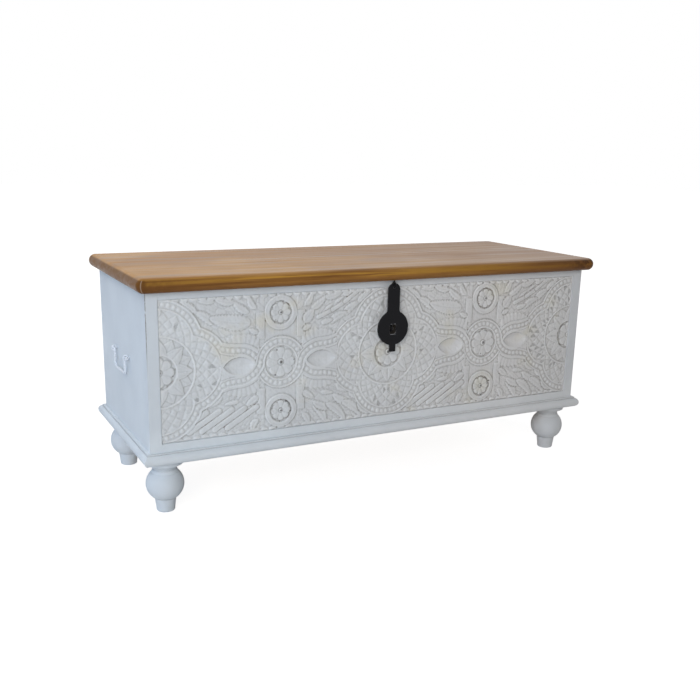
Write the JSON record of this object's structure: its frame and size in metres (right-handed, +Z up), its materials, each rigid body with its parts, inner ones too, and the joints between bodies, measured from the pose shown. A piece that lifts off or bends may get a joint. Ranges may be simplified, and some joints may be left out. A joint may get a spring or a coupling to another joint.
{
  "type": "carved blanket trunk",
  "caption": "Long painted blanket trunk with a carved framed front, wooden lid on butt hinges, iron hasp, moulded base, turned feet and a drop handle at each end.",
  "frame": {"origin": "on the floor under the middle of the trunk", "axes": "+X along the length to the right, +Y to the back, +Z up; the carved front faces -Y"},
  "size_m": [1.15, 0.45, 0.505],
  "materials": {
    "white_paint": "worn matt paint",
    "lid_wood": "satin lacquer",
    "raw_wood": "bare",
    "hinge_steel": "dull",
    "screw_steel": "dull",
    "black_iron": "black wax",
    "painted_iron": "matt paint"
  },
  "bodies": {
    "carcass": {"front_top_rail": "white_paint", "front_bottom_rail": "white_paint", "carved_front_panel": "white_paint", "back_panel": "white_paint", "front_base_moulding": "white_paint", "back_base_moulding": "white_paint", "left_front_stile": "white_paint", "left_side_panel": "white_paint", "left_base_moulding": "white_paint", "right_front_stile": "white_paint", "right_side_panel": "white_paint", "right_base_moulding": "white_paint", "left_front_foot": "white_paint", "left_back_foot": "white_paint", "right_front_foot": "white_paint", "right_back_foot": "white_paint", "bottom_board": "raw_wood", "front_bottom_cleat": "raw_wood", "back_bottom_cleat": "raw_wood", "left_front_corner_block": "raw_wood", "left_back_corner_block": "raw_wood", "right_front_corner_block": "raw_wood", "right_back_corner_block": "raw_wood", "left_hinge_body_leaf": "hinge_steel", "left_hinge_pin": "hinge_steel", "right_hinge_body_leaf": "hinge_steel", "right_hinge_pin": "hinge_steel", "hinge_body_screws": "screw_steel", "lock_staple": "black_iron", "left_handle_eyes": "painted_iron", "right_handle_eyes": "painted_iron"},
    "lid": {"lid_front_edge": "lid_wood", "lid_back_edge": "lid_wood", "lid_board_1": "lid_wood", "lid_board_2": "lid_wood", "lid_board_3": "lid_wood", "left_lid_end_edge": "lid_wood", "right_lid_end_edge": "lid_wood", "left_lid_batten": "raw_wood", "right_lid_batten": "raw_wood", "left_hinge_lid_leaf": "hinge_steel", "right_hinge_lid_leaf": "hinge_steel", "lid_batten_screws": "screw_steel", "hinge_lid_screws": "screw_steel", "hasp_eye": "black_iron"},
    "hasp": {"hasp_plate": "black_iron"},
    "left_handle": {"left_handle_bail": "painted_iron"},
    "right_handle": {"right_handle_bail": "painted_iron"}
  },
  "joints": [
    {"name": "lid_hinge", "type": "hinge", "parent": "carcass", "child": "lid", "pos_m": [0, 0.2025, 0.47475], "axis": [-1, 0, 0], "range_deg": [0, 110]},
    {"name": "hasp_swing", "type": "hinge", "parent": "lid", "child": "hasp", "pos_m": [0, -0.213, 0.466], "axis": [-1, 0, 0], "range_deg": [-4.5, 125]},
    {"name": "left_handle_swing", "type": "hinge", "parent": "carcass", "child": "left_handle", "pos_m": [-0.56225, 0, 0.3145], "axis": [0, 1, 0], "range_deg": [-5, 180]},
    {"name": "right_handle_swing", "type": "hinge", "parent": "carcass", "child": "right_handle", "pos_m": [0.56225, 0, 0.3145], "axis": [0, -1, 0], "range_deg": [-5, 180]}
  ]
}
